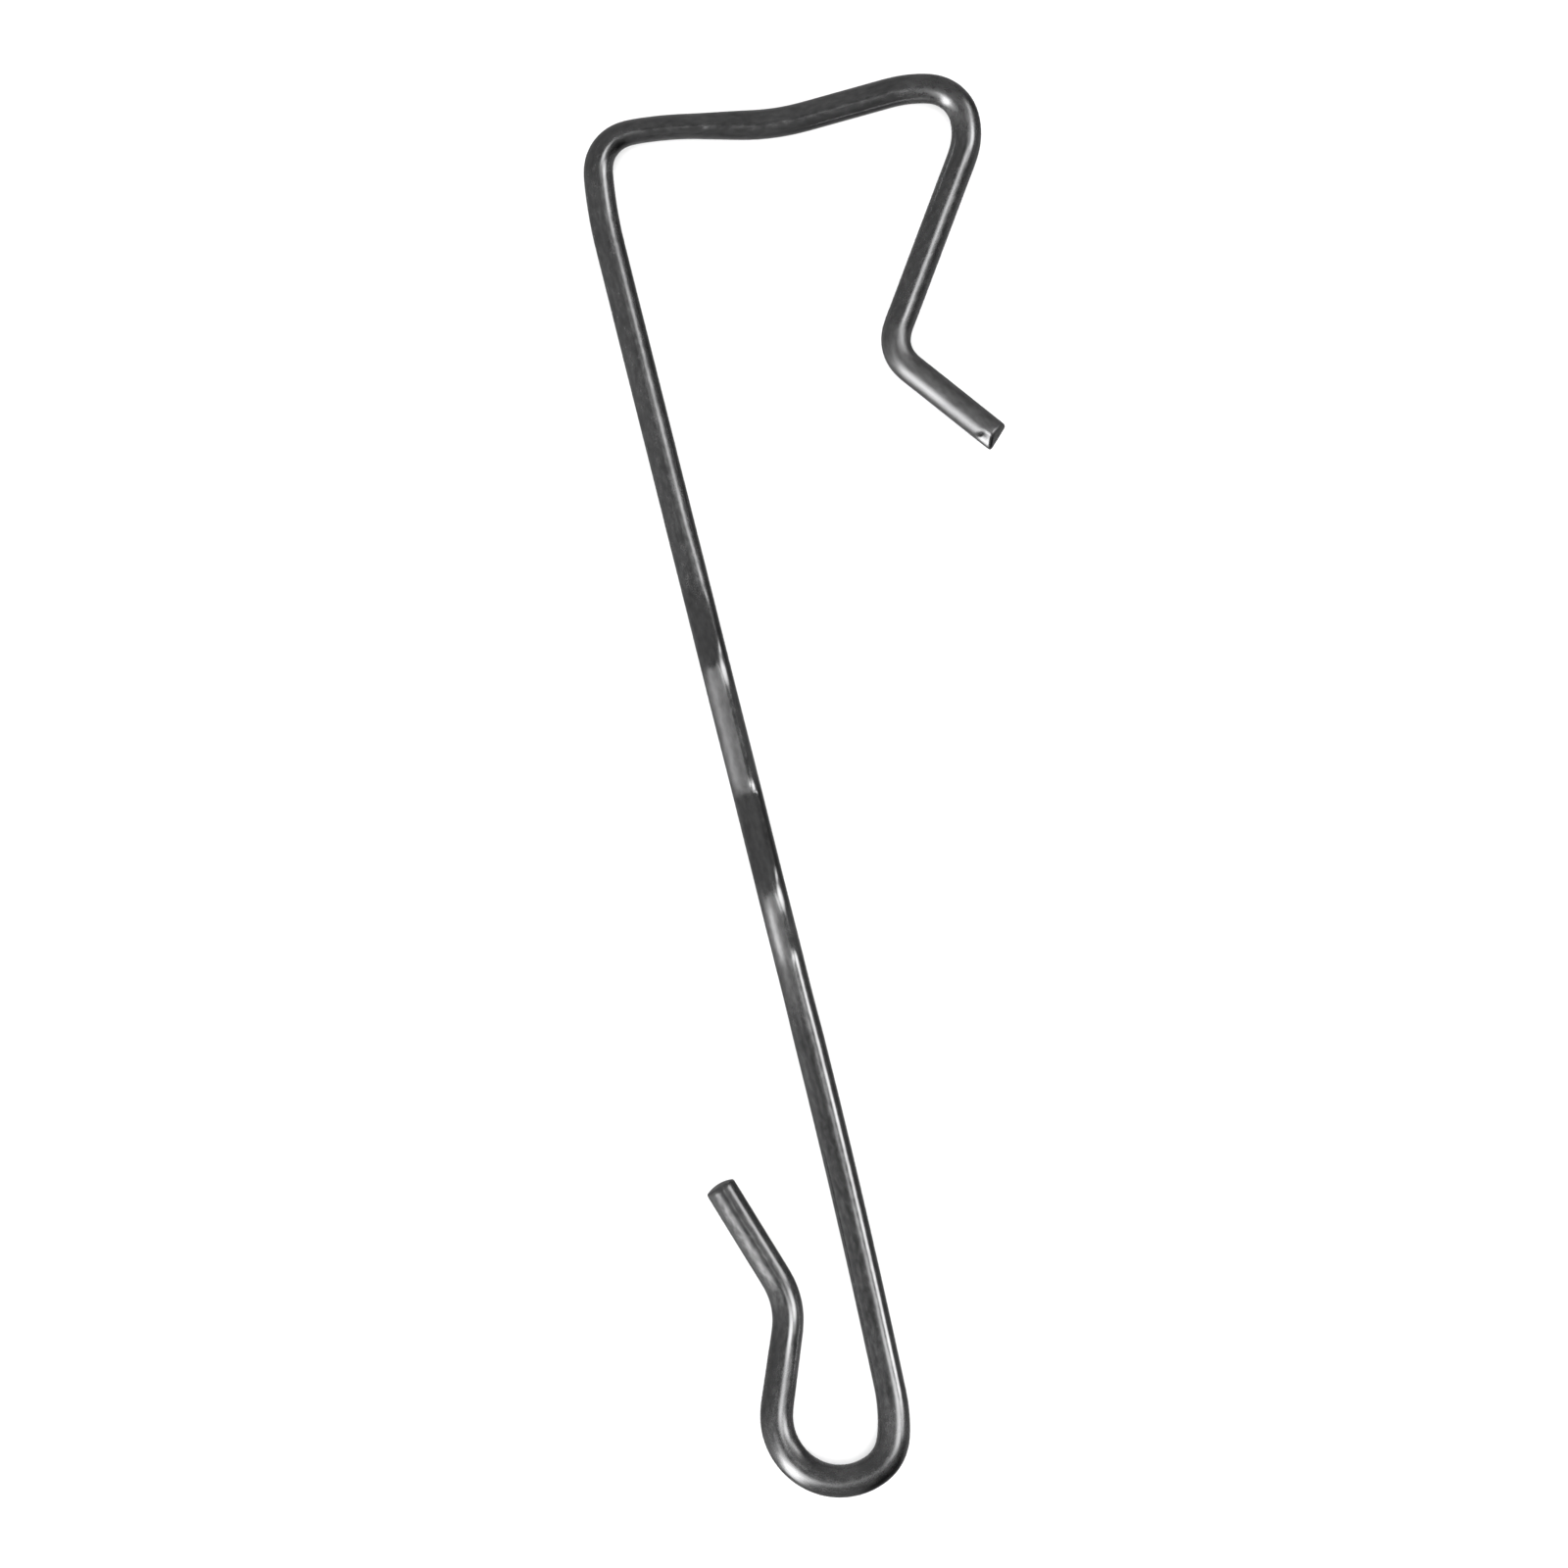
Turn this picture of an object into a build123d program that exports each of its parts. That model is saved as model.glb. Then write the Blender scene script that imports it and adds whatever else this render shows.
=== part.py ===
from build123d import *
from dataclasses import dataclass
from math import radians, sqrt, tan
import os

# Slate hook, millimetres. One length of round spring-hard stainless wire, bent cold.
# The hook lies on its side: its own plane is XY, with the clip that grips the roofing
# batten towards +Y and the seat that carries the slate's lower edge towards -Y.
# The crimp in the shank waves out of that plane, along Z.

# Wire
wire_diameter = 2.7         # drawn round wire
clip_width = 2.3            # squeezed by the tool between the clip's bridge and its corner
lower_shank_width = 2.8     # slightly flattened below the crimp
seat_width = 3.0            # flattened round the seat
lip_width = 2.85            # flattened less along the lip

# Clip: corner, bridge over the batten, nose, jaw, knee and tip
corner_exit_radius = 40.0
corner_exit_angle = 9.6
corner_radius = 3.45
corner_angle = 83.4
corner_entry_radius = 32.0
corner_entry_angle = 9.9
bridge_inner_length = 5.0
bridge_kink_radius = 22.0
bridge_kink_angle = 14.4
bridge_outer_length = 7.75
nose_entry_radius = 11.3
nose_entry_angle = 19.3
nose_radius = 3.4
nose_angle = 72.3
nose_exit_radius = 6.0
nose_exit_angle = 34.6
jaw_length = 16.4
knee_radius = 3.2
knee_angle = 72.1
tip_length = 10.3
tip_shear_angle = 7.0       # the cropping blade crosses the wire a little askew
tip_edge_radius = 0.3

# Shank and its crimp
upper_shank_length = 32.75
crimp_height = 1.45         # crests and dip, to where the crimp's straight flanks would meet
crimp_rise_length = 6.2     # from the straight shank to the first crest
crimp_fall_length = 11.7    # from the first crest to the dip
crimp_return_length = 9.1   # from the dip to the second crest
crimp_end_length = 6.2      # from the second crest to the straight shank
crimp_end_radius = 8.0
crimp_crest_radius = 8.0
crimp_dip_radius = 4.0
lower_shank_length = 8.1
shank_bow_radius = 900.0    # the shank's foot bows towards the seat
shank_bow_angle = 2.04

# Seat for the slate's lower edge, and its lip
heel_entry_radius = 15.8
heel_entry_angle = 16.4
heel_radius = 3.8
heel_angle = 47.0
seat_radius = 5.45
seat_angle = 69.1
toe_radius = 6.0
toe_angle = 67.2
neck_length = 6.9
lip_bend_radius = 7.25
lip_bend_angle = 39.3
lip_length = 9.65
lip_dome_height = 0.33      # the lip's cropped end is slightly domed


@dataclass
class Straight:
    """A straight run, and the wire's width across the hook's plane where it ends."""
    length: float
    width: float = wire_diameter


@dataclass
class Bend:
    """A bend in the hook's plane, positive to the left of the run, and the width at its end."""
    radius: float
    angle: float
    width: float = wire_diameter


def station(point, heading):
    """A plane across the wire: Z runs along it, X points to its left and Y is the part's +Z."""
    heading = Vector(heading)
    return Plane(origin=point, x_dir=Vector(0, 0, 1).cross(heading), z_dir=heading)


def section(place, width):
    """The wire's section: what is squeezed from its width goes half into its thickness."""
    if width == wire_diameter:
        return place * Circle(wire_diameter / 2)
    thickness = wire_diameter * sqrt(wire_diameter / width)
    return place * Ellipse(width / 2, thickness / 2)


def next_station(place, step):
    """Where a straight run or a bend that starts at this place ends."""
    if isinstance(step, Straight):
        return station(place.origin + place.z_dir * step.length, place.z_dir)
    to_centre = place.x_dir * step.radius * (1 if step.angle > 0 else -1)
    centre = place.origin + to_centre
    return station(centre - to_centre.rotate(Axis.Z, step.angle), place.z_dir.rotate(Axis.Z, step.angle))


def form_wire(place, steps, width=wire_diameter):
    """Solids of the wire, run by run and bend by bend, and the place across its end."""
    solids = []
    for step in steps:
        end = next_station(place, step)
        if isinstance(step, Straight):
            path = Line(place.origin, end.origin)
        else:
            path = TangentArc(place.origin, end.origin, tangent=place.z_dir)
        if step.width == width:
            solids.append(sweep(section(place, width), path=path))
        else:
            ends = [section(place, width), section(end, step.width)]
            solids.append(sweep(ends, path=path, multisection=True))
        place = end
        width = step.width
    return solids, place


def shank():
    """The straight shank with its crimp, from the clip's corner to the bowed foot."""
    lengths = [
        upper_shank_length,
        crimp_rise_length,
        crimp_fall_length,
        crimp_return_length,
        crimp_end_length,
    ]
    heights = [0, crimp_height, -crimp_height, crimp_height, 0]
    points = [Vector(0, 0, 0)]
    y = 0
    for length, height in zip(lengths, heights):
        y = y - length
        points.append(Vector(0, y, height))
    foot = Vector(0, y - lower_shank_length / 2, 0)
    points.append(foot)
    bends = [
        crimp_end_radius,
        crimp_crest_radius,
        crimp_dip_radius,
        crimp_crest_radius,
        crimp_end_radius,
    ]
    path = FilletPolyline(points, radius=bends)
    return sweep(section(station(points[0], (0, -1, 0)), wire_diameter), path=path), foot


def clip(place):
    """The clip, from the top of the shank to its sheared tip."""
    skew = wire_diameter / 2 * tan(radians(tip_shear_angle))
    steps = [
        Bend(corner_exit_radius, -corner_exit_angle),
        Bend(corner_radius, -corner_angle, clip_width),
        Bend(corner_entry_radius, -corner_entry_angle, clip_width),
        Straight(bridge_inner_length),
        Bend(bridge_kink_radius, bridge_kink_angle),
        Straight(bridge_outer_length),
        Bend(nose_entry_radius, -nose_entry_angle),
        Bend(nose_radius, -nose_angle),
        Bend(nose_exit_radius, -nose_exit_angle),
        Straight(jaw_length),
        Bend(knee_radius, knee_angle),
        Straight(tip_length + skew),
    ]
    solids, end = form_wire(place, steps)
    blade = station(end.origin - end.z_dir * skew, end.z_dir.rotate(Axis.Z, tip_shear_angle))
    tip = split(solids[-1], bisect_by=blade, keep=Keep.BOTTOM)
    cut_face = tip.faces().sort_by_distance(blade.origin)[0]
    return solids[:-1] + [fillet(cut_face.edges(), tip_edge_radius)]


def seat(place):
    """The seat under the slate's edge and its lip, from the foot of the shank."""
    steps = [
        Straight(lower_shank_length / 2, lower_shank_width),
        Bend(shank_bow_radius, -shank_bow_angle, lower_shank_width),
        Bend(heel_entry_radius, -heel_entry_angle, seat_width),
        Bend(heel_radius, -heel_angle, seat_width),
        Bend(seat_radius, -seat_angle, seat_width),
        Bend(toe_radius, -toe_angle, seat_width),
        Straight(neck_length, lip_width),
        Bend(lip_bend_radius, lip_bend_angle, lip_width),
        Straight(lip_length - lip_width / 2, lip_width),
    ]
    solids, end = form_wire(place, steps)
    stub = extrude(section(end, lip_width), lip_width)
    dome_radius = ((lip_width / 2) ** 2 + lip_dome_height**2) / (2 * lip_dome_height)
    dome_top = end.origin + end.z_dir * (lip_width / 2 + lip_dome_height)
    dome = Pos(dome_top - end.z_dir * dome_radius) * Sphere(dome_radius)
    return solids + [stub & dome]


shank_solid, foot = shank()
pieces = clip(station((0, 0, 0), (0, 1, 0))) + [shank_solid] + seat(station(foot, (0, -1, 0)))
hook = Part() + pieces
box = hook.bounding_box()
hook = Pos(-box.center().X, -box.center().Y, -box.min.Z) * hook

os.makedirs("parts", exist_ok=True)
export_step(hook, "parts/slate_hook.step")
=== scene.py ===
from math import atan2, ceil, cos, degrees, hypot, pi, radians, sin, tan

import bpy
import numpy as np
from mathutils import Matrix, Vector


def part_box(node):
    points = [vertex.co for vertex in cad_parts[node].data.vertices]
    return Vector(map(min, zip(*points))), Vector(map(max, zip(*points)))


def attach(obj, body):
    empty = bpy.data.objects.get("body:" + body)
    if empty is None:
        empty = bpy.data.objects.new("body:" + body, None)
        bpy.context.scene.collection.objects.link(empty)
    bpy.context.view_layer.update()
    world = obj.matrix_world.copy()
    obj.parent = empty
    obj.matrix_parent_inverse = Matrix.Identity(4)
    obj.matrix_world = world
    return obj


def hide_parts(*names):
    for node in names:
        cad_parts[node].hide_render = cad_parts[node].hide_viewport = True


# A slate hook of round stainless wire. The CAD part is the frame; the wire is drawn here as a finer
# mesh of the same form, with the marks that drawing, bending and cropping leave on it.

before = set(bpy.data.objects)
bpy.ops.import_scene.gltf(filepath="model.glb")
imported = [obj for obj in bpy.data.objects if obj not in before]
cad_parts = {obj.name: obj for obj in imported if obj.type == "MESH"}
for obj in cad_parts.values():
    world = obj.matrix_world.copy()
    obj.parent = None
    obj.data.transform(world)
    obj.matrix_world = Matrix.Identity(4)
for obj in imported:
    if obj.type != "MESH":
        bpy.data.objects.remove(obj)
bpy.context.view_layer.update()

MM = 0.001

# ---------------------------------------------------------------- the wire's course (mm, degrees)

WIRE = 2.7
CLIP_WIDTH = 2.3        # squeezed between the clip's corner and its bridge
LOWER_WIDTH = 2.8       # flattened below the crimp
SEAT_WIDTH = 3.0        # flattened round the seat
LIP_WIDTH = 2.85        # flattened less along the lip
SKIN = 0.012            # taken off each half-width, which keeps the mesh inside the solid's box

# A bend is (radius, angle, width at its end); a straight run is (length, width at its end).
# Angles are positive to the left. The clip runs from the shank's top, the seat from its foot.
CLIP = [
    (40.0, -9.6, WIRE),             # into the corner
    (3.45, -83.4, CLIP_WIDTH),      # the corner
    (32.0, -9.9, CLIP_WIDTH),       # out of it
    (5.0, WIRE),                    # the bridge
    (22.0, 14.4, WIRE),             # its kink
    (7.75, WIRE),
    (11.3, -19.3, WIRE),            # into the nose
    (3.4, -72.3, WIRE),             # the nose
    (6.0, -34.6, WIRE),             # out of it
    (16.4, WIRE),                   # the jaw
    (3.2, 72.1, WIRE),              # the knee
    (10.3, WIRE),                   # the tip
]
SEAT = [
    (4.05, LOWER_WIDTH),            # the lower half of the shank below the crimp
    (900.0, -2.04, LOWER_WIDTH),    # the shank's bow
    (15.8, -16.4, SEAT_WIDTH),      # into the heel
    (3.8, -47.0, SEAT_WIDTH),       # the heel
    (5.45, -69.1, SEAT_WIDTH),      # the seat
    (6.0, -67.2, SEAT_WIDTH),       # the toe
    (6.9, LIP_WIDTH),               # the neck
    (7.25, 39.3, LIP_WIDTH),        # the lip's bend
    (9.65, LIP_WIDTH),              # the lip
]
# The shank's corners: (distance from the last one, height over the hook's plane, bend radius)
SHANK = [
    (32.75, 0.0, 8.0),              # where the crimp starts
    (6.2, 1.45, 8.0),               # first crest
    (11.7, -1.45, 4.0),             # dip
    (9.1, 1.45, 8.0),               # second crest
    (6.2, 0.0, 8.0),                # where the crimp ends
    (4.05, 0.0, 0.0),               # halfway down the shank below it
]

AROUND = 64             # points round a ring
STEP = 0.2              # between rings
SOFTEN = 0.8            # cold bends start and end gradually, over about this distance

TIP_SHEAR = 7.0         # the cropping blade crossed the wire a little askew
TIP_SLOPE = 0.5         # its cut breaks away this far towards the top
TIP_BREAK = 1.3         # more steeply the higher: the power of the height
TIP_EDGE = 0.3          # radius of the tip's worn rim
TIP_EDGE_RINGS = 6
TIP_FACE = (0.2, 0.4, 0.6, 0.8, 0.92)       # rings on the tip's face, as shares of its flat
TIP_CLEAR = 1.15        # the plain wire starts this far from the tip
LIP_DOME = 0.33         # the lip's end is domed this high
LIP_EDGE = 0.12         # and its rim worn this far back
LIP_WORN = 0.94         # from this share of the radius outwards
# Rings on the lip's end, as shares of its radius
LIP_FACE = (1.0, 0.995, 0.985, 0.965, 0.94, 0.9, 0.8, 0.65, 0.5, 0.35, 0.2)
LIP_CLEAR = 0.22        # the plain wire ends this far from the lip's end

# Distances along the wire are from its tip, and angles round it are from its left side, with its top
# at 90 degrees. A mark is (distance, angle, half-length, half-width, depth).
NICKS = [
    (0.9, 123, 0.2, 0.2, 0.06),
    (2.65, 121, 0.25, 0.15, 0.03),
    (59.5, 74, 0.2, 0.2, 0.035),
    (71.1, 110, 0.22, 0.18, 0.05),
    (112.2, 76, 0.22, 0.2, 0.03),
    (116.8, 101, 0.2, 0.2, 0.02),
    (129.5, 63, 0.4, 0.2, 0.03),
    (144.2, 52, 0.25, 0.15, 0.02),
    (144.8, 89, 0.15, 0.2, 0.02),
]
PRESS_MARKS = [
    (117.9, 62, 1.3, 0.4, 0.04),
    (139.5, 61, 1.3, 0.4, 0.04),
]
# The flat that the blade left beside the tip
FLAT_FACES = 50         # the angle it faces
FLAT_DISTANCE = 1.16    # from the wire's axis
FLAT_REACH = 45         # it ends less far round than this, to either side
FLAT_SLANT_FROM = 30    # at this angle round the wire it fades out
FLAT_FADES = (1.3, 2.2)     # between these distances from the tip
FLAT_SLANT = 0.6        # and so much nearer to the tip for each radian further round

# The crimping tool and the rollers below it leave the wire less than round. Each row is a distance
# along the wire and the exponent of its section there: 2 is an ellipse, more is squarer.
SQUARED = [(104, 2.0), (108, 2.4), (145, 2.4), (184, 2.7), (192, 2.0)]

# Where cold work has dulled the wire all round: from, to and how much. The first is the tip's.
DULLED = [
    (-9, 14, 0.5),
    (16, 30, 0.2),
    (33, 41, 0.25),
    (66, 112, 0.15),
    (187, 211, 0.2),
    (214, 230, 0.1),
]
DULLED_FADE = (2, 1)    # each grows from this far outside its ends to this far inside them
# Where the crimping tool has dulled the right side: from, whole from, whole to, to and how much
PRESSED = [
    (116.6, 118, 128.9, 130.4, 1.0),
    (138, 140, 142, 155, 0.6),
]
PRESSED_FADE = (-0.05, 0.35)    # it fades out here across the wire, in radii to the left
NICK_DULLS = 5          # for each millimetre of a nick's depth
CUT_BRIGHTENS = 4       # for each millimetre of the depth of the blade's flat


def trace(heading, steps):
    """Rows of x, y, heading and width along straight runs and bends, from the origin."""
    x, y, width = 0.0, 0.0, WIRE
    rows = [(x, y, heading, width)]
    for step in steps:
        end_width = step[-1]
        turn = radians(step[1]) if len(step) == 3 else 0.0
        length = step[0] * abs(turn) if turn else step[0]
        count = max(2, ceil(length / STEP))
        half = turn / count / 2
        chord = length / count * (sin(half) / half if half else 1.0)
        for i in range(count):
            x += chord * cos(heading + half)
            y += chord * sin(heading + half)
            heading += 2 * half
            rows.append((x, y, heading, width + (end_width - width) * (i + 1) / count))
        width = end_width
    return np.array(rows)


def shank_steps():
    """The shank's corners as straight runs and bends, in its own upright plane."""
    corners = [(0.0, 0.0)]
    for run, height, _ in SHANK:
        corners.append((corners[-1][0] + run, height))
    runs = [(b[0] - a[0], b[1] - a[1]) for a, b in zip(corners, corners[1:])]
    slopes = [atan2(up, along) for along, up in runs]
    turns = [b - a for a, b in zip(slopes, slopes[1:])]
    cuts = [0.0] + [SHANK[i][2] * tan(abs(t) / 2) for i, t in enumerate(turns)] + [0.0]
    steps = []
    for i, run in enumerate(runs):
        steps.append((hypot(*run) - cuts[i] - cuts[i + 1], WIRE))
        if i < len(turns):
            steps.append((SHANK[i][2], degrees(turns[i]), WIRE))
    return steps


def course():
    """The whole wire from the clip's tip to the lip's end: places and widths."""
    clip = trace(pi / 2, CLIP)[::-1]
    shank = trace(0.0, shank_steps())[1:]
    seat = trace(-pi / 2, SEAT)[1:]
    foot = -shank[-1, 0]
    place = np.vstack([
        np.c_[clip[:, 0], clip[:, 1], np.zeros(len(clip))],
        np.c_[np.zeros(len(shank)), -shank[:, 0], shank[:, 1]],
        np.c_[seat[:, 0], seat[:, 1] + foot, np.zeros(len(seat))],
    ])
    return place, np.r_[clip[:, 3], shank[:, 3], seat[:, 3]]


def average(values):
    """A running average along the wire, whose ends carry on in line."""
    reach = ceil(3 * SOFTEN / STEP)
    weights = np.exp(-0.5 * (np.arange(-reach, reach + 1) * STEP / SOFTEN) ** 2)
    before = 2 * values[0] - values[reach:0:-1]
    after = 2 * values[-1] - values[-2:-2 - reach:-1]
    return np.convolve(np.r_[before, values, after], weights / weights.sum(), mode="valid")


def soften(values):
    """The average, with what it takes off the bends put back."""
    softer = average(values)
    return softer + average(values - softer)


def stations():
    """Evenly spaced stations: run, place, direction, left, up, width and thickness."""
    place, width = course()
    run = np.r_[0, np.cumsum(np.linalg.norm(np.diff(place, axis=0), axis=1))]
    even = np.linspace(0, run[-1], round(run[-1] / STEP) + 1)
    place = np.stack([soften(np.interp(even, run, place[:, k])) for k in range(3)], axis=1)
    width = soften(np.interp(even, run, width))
    along = np.gradient(place, axis=0)
    along /= np.linalg.norm(along, axis=1)[:, None]
    left = np.cross([0, 0, 1], along)
    left /= np.linalg.norm(left, axis=1)[:, None]
    return even, place, along, left, np.cross(along, left), width, WIRE * np.sqrt(WIRE / width)


# ---------------------------------------------------------------- marks and wear


def smooth(low, high, x):
    """Rises smoothly from 0 to 1 between two values."""
    t = np.clip((x - low) / (high - low), 0.0, 1.0)
    return t * t * (3 - 2 * t)


def dent(mark, run, angle):
    """How deep a mark is at a distance along the wire and an angle round it."""
    at, round_at, half_length, half_width, depth = mark
    around = (angle - radians(round_at) + pi) % (2 * pi) - pi
    off = ((run - at) / half_length) ** 2 + (around * WIRE / 2 / half_width) ** 2
    return depth * np.exp(-off)


def blade_flat(run, angle):
    """How deep the blade's flat is cut into the wire by the tip."""
    turn = np.clip(angle - radians(FLAT_FACES), -radians(FLAT_REACH), radians(FLAT_REACH))
    along_it = 1 - smooth(*FLAT_FADES, run + FLAT_SLANT * (angle - radians(FLAT_SLANT_FROM)))
    return np.maximum(WIRE / 2 - SKIN - FLAT_DISTANCE / np.cos(turn), 0) * along_it


def dulled(run, angle):
    """How far cold work has dulled the wire, and the crimping tool its pressed side."""
    before, inside = DULLED_FADE
    worn = 0
    for start, end, amount in DULLED:
        rises = smooth(start - before, start + inside, run)
        worn = worn + amount * rises * (1 - smooth(end - inside, end + before, run))
    pressed = 1 - smooth(*PRESSED_FADE, np.cos(angle))
    for start, whole, until, end, amount in PRESSED:
        worn = worn + amount * pressed * smooth(start, whole, run) * (1 - smooth(until, end, run))
    return worn


# ---------------------------------------------------------------- the wire's skin


def tip_rings(across, over):
    """Rings (station, scale, distances along the wire) over the cropped face and its rim."""
    half = WIRE / 2 - SKIN
    lean = tan(radians(TIP_SHEAR))
    set_back = SKIN - half * across * lean + TIP_SLOPE * np.clip(over, 0, 1) ** TIP_BREAK
    flat = 1 - TIP_EDGE / half
    rings = [(0, flat * scale, SKIN + (set_back - SKIN) * flat * scale) for scale in TIP_FACE]
    for k in range(TIP_EDGE_RINGS + 1):
        turn = pi / 2 * k / TIP_EDGE_RINGS
        scale = 1 - TIP_EDGE * (1 - sin(turn)) / half
        rings.append((0, scale, SKIN + (set_back - SKIN) * scale + TIP_EDGE * (1 - cos(turn))))
    return rings


def lip_rings(side, rise):
    """Rings (station, scale, distances along the wire) over the lip's domed end."""
    dome = ((LIP_WIDTH / 2) ** 2 + LIP_DOME ** 2) / (2 * LIP_DOME)
    rings = []
    for scale in LIP_FACE:
        reach = scale * np.hypot(side, rise)
        edge = LIP_EDGE * max(0.0, (scale - LIP_WORN) / (1 - LIP_WORN)) ** 2
        rings.append((-1, scale, np.sqrt(dome ** 2 - reach ** 2) - dome + LIP_DOME - edge - SKIN))
    return rings


def build_wire():
    """The wire's skin: vertices, faces, and each vertex's place on the wire and how dull it is."""
    run, place, along, left, up, width, thick = stations()
    total = run[-1]
    angle = np.arange(AROUND) * 2 * pi / AROUND
    across, over = np.cos(angle), np.sin(angle)
    power = 2 / np.interp(run, *zip(*SQUARED))
    body = np.where((run > TIP_CLEAR) & (run < total - LIP_CLEAR))[0]
    rings = tip_rings(across, over)
    rings += [(i, 1.0, np.zeros(AROUND)) for i in body]
    rings += lip_rings(width[-1] / 2 * across, thick[-1] / 2 * over)

    verts, wire_at, worn = [], [], []
    for i, scale, shift in rings:
        at = run[i] + shift
        nicks = sum(dent(nick, at, angle) for nick in NICKS)
        cut = blade_flat(at, angle)
        deep = nicks + sum(dent(mark, at, angle) for mark in PRESS_MARKS) + cut
        side = (width[i] / 2 - SKIN - deep) * scale * np.sign(across) * np.abs(across) ** power[i]
        rise = (thick[i] / 2 - SKIN - deep) * scale * np.sign(over) * np.abs(over) ** power[i]
        ring = place[i] + np.outer(side, left[i]) + np.outer(rise, up[i])
        verts.append(ring + np.outer(shift, along[i]))
        wire_at.append(np.c_[at, side, rise])
        worn.append(dulled(at, angle) + NICK_DULLS * nicks - CUT_BRIGHTENS * cut)
    ends = np.array([place[0] + along[0] * SKIN, place[-1] + along[-1] * (LIP_DOME - SKIN)])
    verts = np.vstack(verts + [ends])
    wire_at = np.vstack(wire_at + [np.array([[0, 0, 0], [total + LIP_DOME, 0, 0]])])
    worn = np.clip(np.r_[np.concatenate(worn), 1.0, 1.0], 0, 1)
    return verts, join_rings(len(rings)), wire_at, worn


def join_rings(count):
    """Quads between the rings, and a fan of triangles over each end."""
    faces = []
    for i in range(count - 1):
        for j in range(AROUND):
            k = (j + 1) % AROUND
            faces.append((i * AROUND + j, i * AROUND + k, (i + 1) * AROUND + k, (i + 1) * AROUND + j))
    first = count * AROUND
    last = first + 1
    for j in range(AROUND):
        k = (j + 1) % AROUND
        faces.append((first, k, j))
        faces.append((last, (count - 1) * AROUND + j, (count - 1) * AROUND + k))
    return faces


def in_frame(verts):
    """The wire in metres, centred on the frame and on the height of its solid."""
    node_low, node_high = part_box("slate_hook")
    centre = (verts.min(axis=0) + verts.max(axis=0)) / 2
    verts = (verts - np.array([centre[0], centre[1], 0.0])) * MM
    middle = (node_low.z + node_high.z) / 2
    verts[:, 2] += middle - (verts[:, 2].min() + verts[:, 2].max()) / 2
    return verts


def make_hook(steel):
    """The hook's one piece, with its places along the wire and its dulling as attributes."""
    verts, faces, wire_at, worn = build_wire()
    mesh = bpy.data.meshes.new("hook_wire")
    mesh.from_pydata([tuple(v) for v in in_frame(verts)], [], faces)
    mesh.update()
    mesh.shade_smooth()
    mesh.attributes.new("wire_at", "FLOAT_VECTOR", "POINT")
    mesh.attributes["wire_at"].data.foreach_set("vector", wire_at.astype(np.float32).ravel())
    mesh.attributes.new("dulled", "FLOAT", "POINT")
    mesh.attributes["dulled"].data.foreach_set("value", worn.astype(np.float32))
    hook = bpy.data.objects.new("hook_wire", mesh)
    bpy.context.collection.objects.link(hook)
    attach(hook, "root")
    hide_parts("slate_hook")
    for carried in [hook] + list(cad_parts.values()):
        carried.data.materials.clear()
        carried.data.materials.append(steel)


# ---------------------------------------------------------------- material


def node(tree, kind, **values):
    """A new node with these settings."""
    made = tree.nodes.new(kind)
    for key, value in values.items():
        setattr(made, key, value)
    return made


def calc(tree, operation, *values):
    """A math node's result, from numbers and sockets."""
    made = node(tree, "ShaderNodeMath", operation=operation)
    for socket, value in zip(made.inputs, values):
        if isinstance(value, (int, float)):
            socket.default_value = value
        else:
            tree.links.new(value, socket)
    return made.outputs["Value"]


def remap(tree, value, source, target):
    """A value carried from one span to another and kept inside it."""
    made = node(tree, "ShaderNodeMapRange")
    made.inputs["From Min"].default_value = source[0]
    made.inputs["From Max"].default_value = source[1]
    made.inputs["To Min"].default_value = target[0]
    made.inputs["To Max"].default_value = target[1]
    tree.links.new(value, made.inputs["Value"])
    return made.outputs["Result"]


def noise(tree, place, stretch, detail):
    """Noise with its own scale along the wire, across it and up."""
    stretched = node(tree, "ShaderNodeMapping")
    stretched.inputs["Scale"].default_value = stretch
    tree.links.new(place, stretched.inputs["Vector"])
    made = node(tree, "ShaderNodeTexNoise")
    made.inputs["Scale"].default_value = 1.0
    made.inputs["Detail"].default_value = detail
    tree.links.new(stretched.outputs["Vector"], made.inputs["Vector"])
    return made.outputs["Fac"]


# Each noise is its scales along the wire, across it and up, per millimetre, and its detail
DRAW_LINES = ((0.07, 4.5, 4.5), 4.0)
MOTTLE = ((1.1, 2.4, 2.4), 6.0)
CLOUD = ((0.25, 0.5, 0.5), 3.0)
SCUFFS = ((0.9, 2.2, 2.2), 3.0)

DARK_STEEL = (0.42, 0.42, 0.425, 1)
LIGHT_STEEL = (0.7, 0.7, 0.705, 1)
MOTTLE_SPAN = (0.33, 0.67)          # what of the mottle tells in the tone
MOTTLE_TONE = (0.0, 0.55)           # how far it takes the dark steel to the light
CLOUD_SPAN = (0.35, 0.65)
CLOUD_TONE = (0.0, 0.45)
DRAWN_SPAN = (0.3, 0.7)             # what of the mottle tells in the roughness
DRAWN_ROUGHNESS = (0.14, 0.22)      # of the wire as it was drawn
DULLED_ROUGHNESS = 0.42             # added to it where the wire is fully dulled
BUMP_HEIGHT = 0.003 * MM
BUMP_STRENGTH = 0.15
LINE_HEIGHT = 0.12                  # the draw lines' share of the bump
SCUFF_HEIGHT = 2.0                  # the scuffs' share where the wire is fully dulled
SCUFF_LEAST = 0.08                  # how dulled the bright wire counts as for its scuffs


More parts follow.
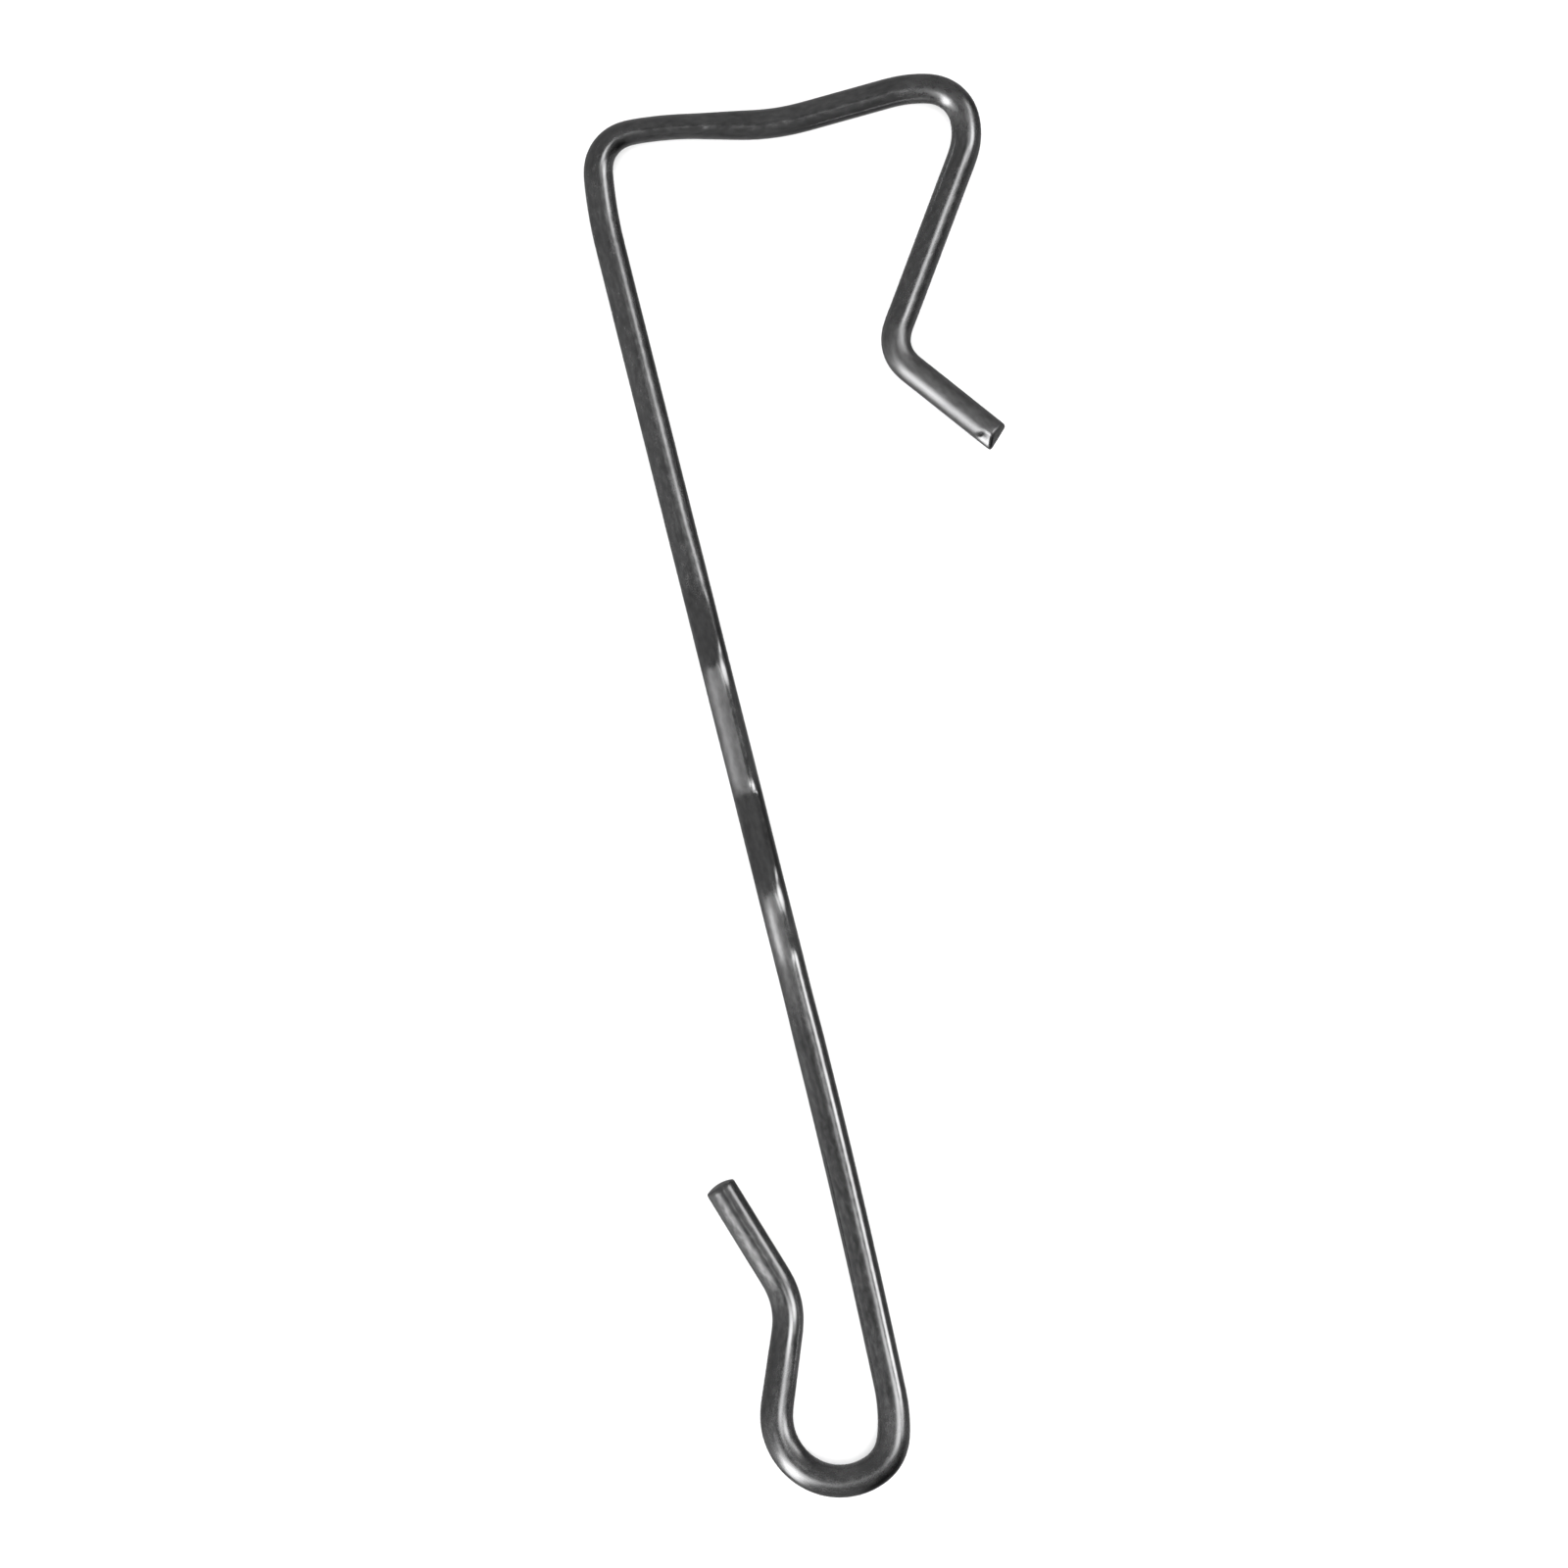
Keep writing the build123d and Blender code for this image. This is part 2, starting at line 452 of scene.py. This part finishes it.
def drawn_steel():
    """Bright drawn stainless: faint lines along the wire, a mottle, and scuffs where it is dulled."""
    material = bpy.data.materials.new("stainless_wire")
    material.use_nodes = True
    tree = material.node_tree
    shader = tree.nodes["Principled BSDF"]
    shader.inputs["Metallic"].default_value = 1.0
    place = node(tree, "ShaderNodeAttribute", attribute_name="wire_at").outputs["Vector"]
    dull = node(tree, "ShaderNodeAttribute", attribute_name="dulled").outputs["Fac"]
    lines = noise(tree, place, *DRAW_LINES)
    mottle = noise(tree, place, *MOTTLE)
    cloud = noise(tree, place, *CLOUD)
    scuffs = noise(tree, place, *SCUFFS)

    tone = node(tree, "ShaderNodeMix", data_type="RGBA")
    tone.inputs["A"].default_value = DARK_STEEL
    tone.inputs["B"].default_value = LIGHT_STEEL
    fine = remap(tree, mottle, MOTTLE_SPAN, MOTTLE_TONE)
    broad = remap(tree, cloud, CLOUD_SPAN, CLOUD_TONE)
    tree.links.new(calc(tree, "ADD", fine, broad), tone.inputs["Factor"])
    tree.links.new(tone.outputs["Result"], shader.inputs["Base Color"])

    drawn = remap(tree, mottle, DRAWN_SPAN, DRAWN_ROUGHNESS)
    roughness = calc(tree, "ADD", drawn, calc(tree, "MULTIPLY", dull, DULLED_ROUGHNESS))
    tree.links.new(roughness, shader.inputs["Roughness"])

    bump = node(tree, "ShaderNodeBump")
    bump.inputs["Strength"].default_value = BUMP_STRENGTH
    bump.inputs["Distance"].default_value = BUMP_HEIGHT
    scuffed = calc(tree, "MULTIPLY", scuffs, calc(tree, "ADD", dull, SCUFF_LEAST))
    scuffed = calc(tree, "MULTIPLY", scuffed, SCUFF_HEIGHT)
    lined = calc(tree, "MULTIPLY", lines, LINE_HEIGHT)
    tree.links.new(calc(tree, "ADD", lined, scuffed), bump.inputs["Height"])
    tree.links.new(bump.outputs["Normal"], shader.inputs["Normal"])
    return material


# ---------------------------------------------------------------- floor, light and camera

PHOTO_LEAN = radians(14.072)        # the shank leans this far from upright in the picture
VIEW_WIDTH = 142.13 * MM            # what the picture spans of the hook's plane
VIEW_AT = Vector((-7.79, 1.18, 0.0)) * MM
PICTURE_RIGHT = Vector((cos(PHOTO_LEAN), -sin(PHOTO_LEAN), 0))
PICTURE_UP = Vector((sin(PHOTO_LEAN), cos(PHOTO_LEAN), 0))
ZENITH = Vector((0, 0, 1))
FOCAL_LENGTH = 150                  # in millimetres, as the sensor's width is
SENSOR_WIDTH = 36
NEAREST = 0.01
FARTHEST = 10

FLOOR_SIZE = 3.0
FLOOR_GAP = 0.0002                  # the paper lies this far below the hook
PAPER = (0.86, 0.86, 0.86, 1)
PAPER_ROUGHNESS = 0.9
SOFTBOX_SIZE = 1.6
SOFTBOX_HEIGHT = 1.2
SOFTBOX_WATTS = 44.0

# The studio round the hook, as a chart of its sky: each place is its tilt from straight up, in
# degrees, to the right and up the picture. A panel is where it is, the direction of its long side,
# its half-length, its half-width and its brightness. Where that is below zero, it is a dark cloth.
PANELS = [
    (55, -48, -45, 36, 40, -0.08),
    (45, 45, 45, 24, 20, -0.04),
    (0, -2, 0, 8, 14, -0.03),
    (23, -7, -5, 13, 6, 2.1),
    (48, 4, 90, 11, 14, 1.8),
    (52, 28, 32, 13, 5, 1.6),
    (-27, -35, -139, 24, 9, 2.1),
    (-45, -57, -128, 27, 12, 1.9),
    (-80, -50, -150, 44, 30, 0.12),
    (102, 48, 115, 42, 36, -0.07),
    (65, -93, 35, 48, 36, -0.07),
]
STUDIO_GREY = 0.1
GROUND_GLOW = 0.1
GROUND_SPAN = (90.0, 150.0)         # the glow from below grows between these tilts
DARKEST = 0.01                      # the least light that the cloths leave
NEAR_MIDDLE = 0.0001                # keeps the chart's middle from dividing by nothing


def chart(tree):
    """Sockets of a direction's place on the chart, to the right and up, and of its tilt."""
    direction = node(tree, "ShaderNodeTexCoord").outputs["Generated"]

    def along(axis):
        made = node(tree, "ShaderNodeVectorMath", operation="DOT_PRODUCT")
        tree.links.new(direction, made.inputs[0])
        made.inputs[1].default_value = axis
        return made.outputs["Value"]

    x, y = along(PICTURE_RIGHT), along(PICTURE_UP)
    square = calc(tree, "ADD", calc(tree, "MULTIPLY", x, x), calc(tree, "MULTIPLY", y, y))
    level = calc(tree, "MAXIMUM", calc(tree, "SQRT", square), NEAR_MIDDLE)
    tilt = calc(tree, "MULTIPLY", calc(tree, "ARCCOSINE", along(ZENITH)), degrees(1.0))
    spread = calc(tree, "DIVIDE", tilt, level)
    return calc(tree, "MULTIPLY", x, spread), calc(tree, "MULTIPLY", y, spread), tilt


def panel(tree, chart_x, chart_y, x, y, turn, half_length, half_width, brightness):
    """A panel's light: its brightness inside, falling off steeply round its edge."""

    def times(a, b):
        return calc(tree, "MULTIPLY", a, b)

    c, s = cos(radians(turn)), sin(radians(turn))
    right, up = calc(tree, "SUBTRACT", chart_x, x), calc(tree, "SUBTRACT", chart_y, y)
    lengthwise = calc(tree, "ADD", times(right, c / half_length), times(up, s / half_length))
    crosswise = calc(tree, "SUBTRACT", times(up, c / half_width), times(right, s / half_width))
    off = calc(tree, "ADD", times(lengthwise, lengthwise), times(crosswise, crosswise))
    return times(calc(tree, "EXPONENT", times(times(off, off), -1.0)), brightness)


def studio_sky():
    """What the wire reflects: grey walls, panels of light, dark cloths, and a glow from below."""
    world = bpy.data.worlds.new("studio")
    bpy.context.scene.world = world
    world.use_nodes = True
    tree = world.node_tree
    background = tree.nodes["Background"]
    background.inputs["Color"].default_value = (1, 1, 1, 1)
    chart_x, chart_y, tilt = chart(tree)
    below = remap(tree, tilt, GROUND_SPAN, (0.0, 1.0))
    glow = calc(tree, "MULTIPLY", calc(tree, "MULTIPLY", below, below), GROUND_GLOW)
    light = calc(tree, "ADD", glow, STUDIO_GREY)
    for values in PANELS:
        light = calc(tree, "ADD", light, panel(tree, chart_x, chart_y, *values))
    tree.links.new(calc(tree, "MAXIMUM", light, DARKEST), background.inputs["Strength"])


def paper_floor():
    """The pale paper that the hook lies on. It is kept out of the wire's reflections."""
    bpy.ops.mesh.primitive_plane_add(size=FLOOR_SIZE, location=(0, 0, -FLOOR_GAP))
    floor = bpy.context.object
    floor.name = "floor"
    paper = bpy.data.materials.new("floor")
    paper.use_nodes = True
    paper.node_tree.nodes["Principled BSDF"].inputs["Base Color"].default_value = PAPER
    paper.node_tree.nodes["Principled BSDF"].inputs["Roughness"].default_value = PAPER_ROUGHNESS
    floor.data.materials.append(paper)
    floor.visible_glossy = False


def overhead_softbox():
    """A broad softbox that lights the paper. It is kept out of the wire's reflections."""
    softbox = bpy.data.lights.new("softbox", "AREA")
    softbox.shape = "SQUARE"
    softbox.size = SOFTBOX_SIZE
    softbox.energy = SOFTBOX_WATTS
    overhead = bpy.data.objects.new("softbox", softbox)
    overhead.location = (0, 0, SOFTBOX_HEIGHT)
    overhead.visible_glossy = False
    bpy.context.collection.objects.link(overhead)


def photo_camera():
    """A camera that looks straight down, turned and framed as the photo is."""
    lens = bpy.data.cameras.new("camera")
    lens.lens = FOCAL_LENGTH
    lens.sensor_width = SENSOR_WIDTH
    lens.clip_start = NEAREST
    lens.clip_end = FARTHEST
    camera = bpy.data.objects.new("camera", lens)
    bpy.context.collection.objects.link(camera)
    distance = VIEW_WIDTH / SENSOR_WIDTH * FOCAL_LENGTH
    turned = Matrix((PICTURE_RIGHT, PICTURE_UP, ZENITH)).transposed().to_4x4()
    camera.matrix_world = Matrix.Translation(VIEW_AT + ZENITH * distance) @ turned
    bpy.context.scene.camera = camera


make_hook(drawn_steel())
paper_floor()
studio_sky()
overhead_softbox()
photo_camera()
bpy.context.scene.view_settings.view_transform = "Standard"
